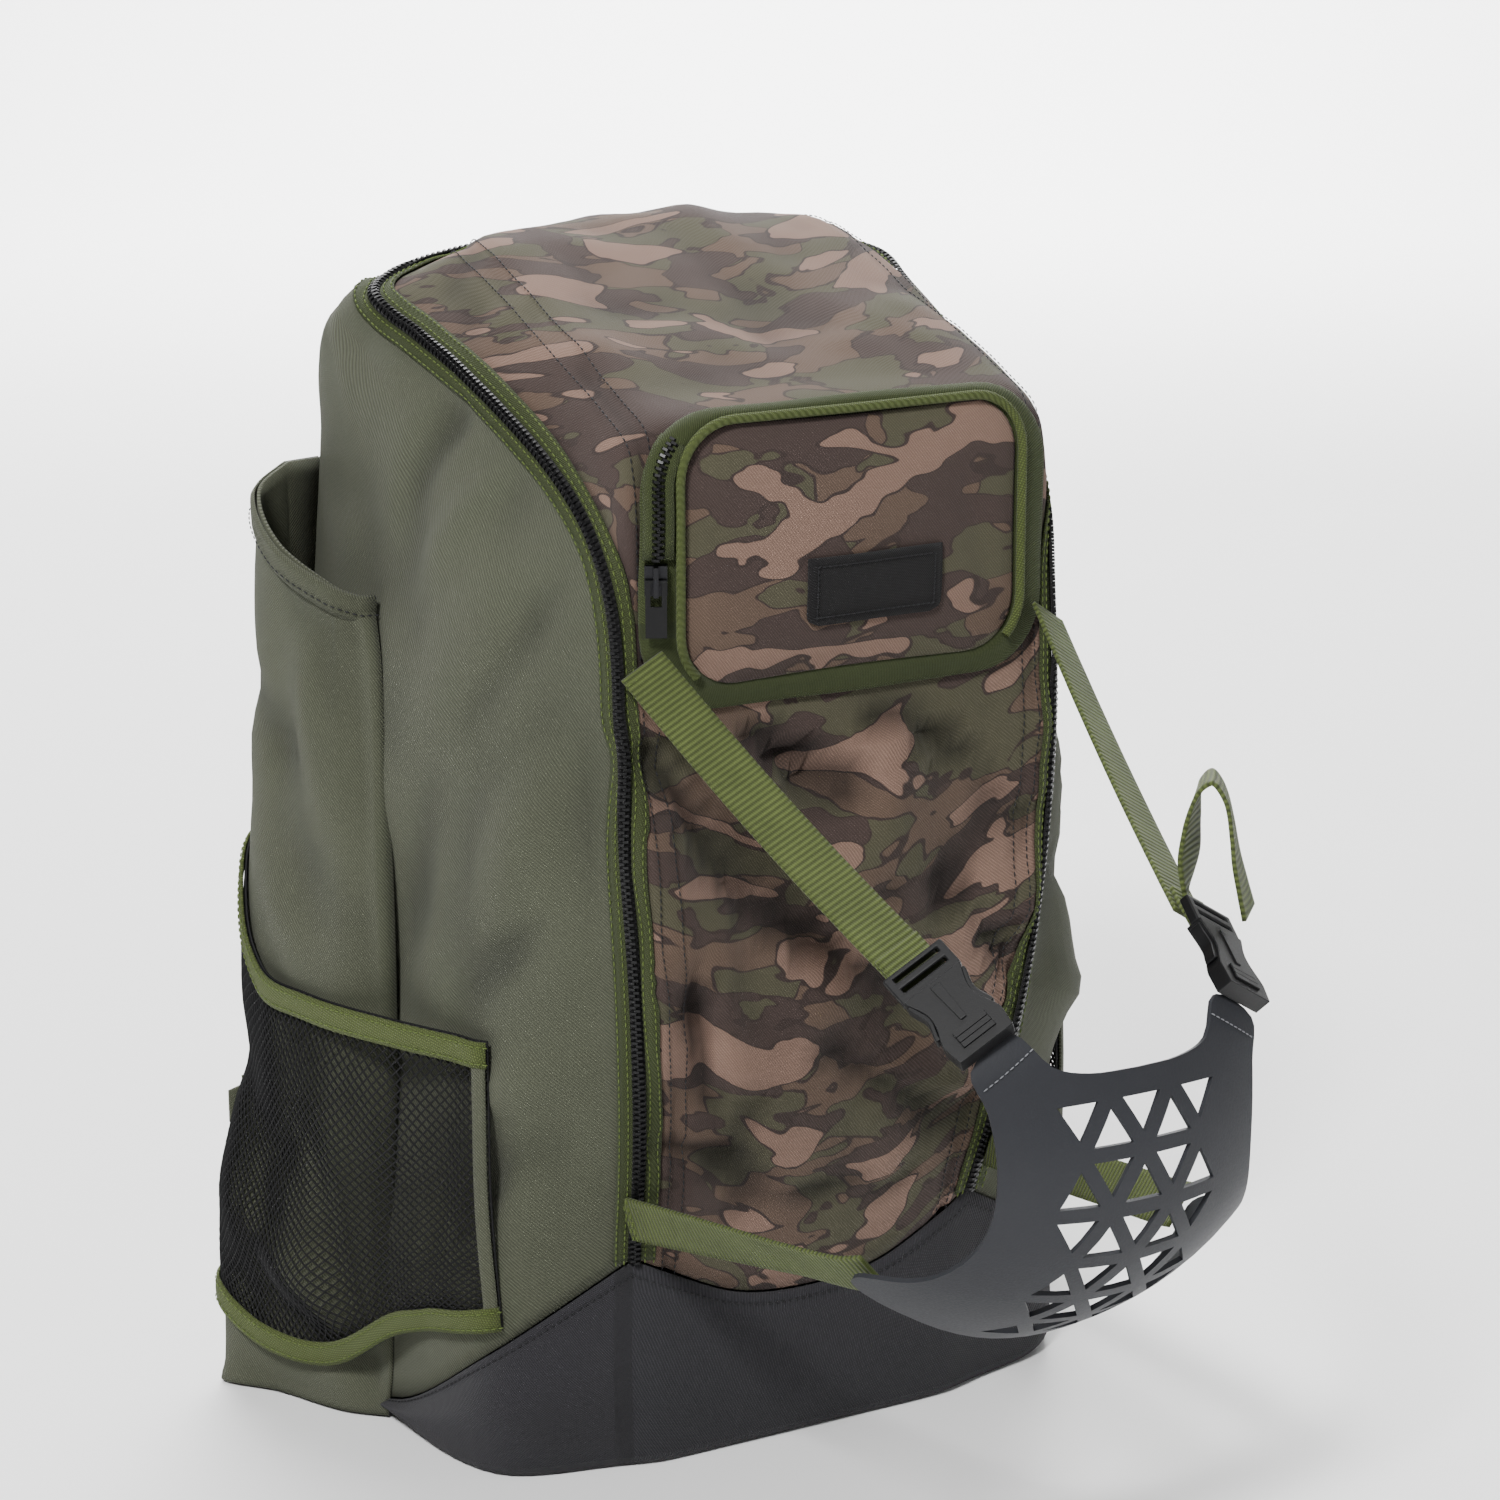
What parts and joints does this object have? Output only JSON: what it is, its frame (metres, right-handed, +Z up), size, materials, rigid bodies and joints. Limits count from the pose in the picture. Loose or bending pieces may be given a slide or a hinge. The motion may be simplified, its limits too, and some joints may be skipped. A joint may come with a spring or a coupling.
{
  "type": "baseball backpack",
  "caption": "Tall sports backpack with an arched main zip, front zip pocket, side sleeves under mesh pockets, and a pierced carrier slung in front on buckled straps.",
  "frame": {"origin": "middle of the base's flat underside, on the floor", "axes": "+Z up, front of the bag towards -Y, wearer's back towards +Y, +X to the right seen from the front"},
  "size_m": [0.4288, 0.4947, 0.514],
  "materials": {
    "green_fabric": "matt woven",
    "camo_fabric": "matt woven, printed",
    "olive_webbing": "woven",
    "base_fabric": "coated woven",
    "carrier_sheet": "satin",
    "black_plastic": "satin",
    "black_mesh": "knitted",
    "dark_metal": "black"
  },
  "bodies": {
    "bag": {"anchor_tab_left": "olive_webbing", "anchor_tab_right": "olive_webbing", "back_pad": "black_mesh", "base": "base_fabric", "bottom_binding_left": "olive_webbing", "bottom_binding_right": "olive_webbing", "buckle_left": "black_plastic", "buckle_right": "black_plastic", "carrier": "carrier_sheet", "front_panel": "camo_fabric", "haul_loop": "olive_webbing", "label": "black_plastic", "lower_strap_left": "olive_webbing", "lower_strap_right": "olive_webbing", "lower_webbing_left": "olive_webbing", "lower_webbing_right": "olive_webbing", "main_body": "green_fabric", "main_zip_coil": "black_plastic", "main_zip_tape": "olive_webbing", "mesh_pocket_left": "black_mesh", "mesh_pocket_right": "black_mesh", "pocket_face": "camo_fabric", "pocket_gusset": "olive_webbing", "pocket_piping": "olive_webbing", "pocket_zip_coil": "black_plastic", "shoulder_strap_left": "black_mesh", "shoulder_strap_right": "black_mesh", "sleeve_left": "green_fabric", "sleeve_right": "green_fabric", "strap_tail": "olive_webbing", "top_binding_left": "olive_webbing", "top_binding_right": "olive_webbing", "upper_strap_left": "olive_webbing", "upper_strap_right": "olive_webbing", "zip_slider": "dark_metal"},
    "puller": {"zip_puller": "black_plastic"}
  },
  "joints": [
    {"name": "puller_hinge", "type": "hinge", "parent": "bag", "child": "puller", "pos_m": [-0.09023, -0.13704, 0.39802], "axis": [-0.8904, 0.4552, 0], "range_deg": [0, 120]}
  ]
}
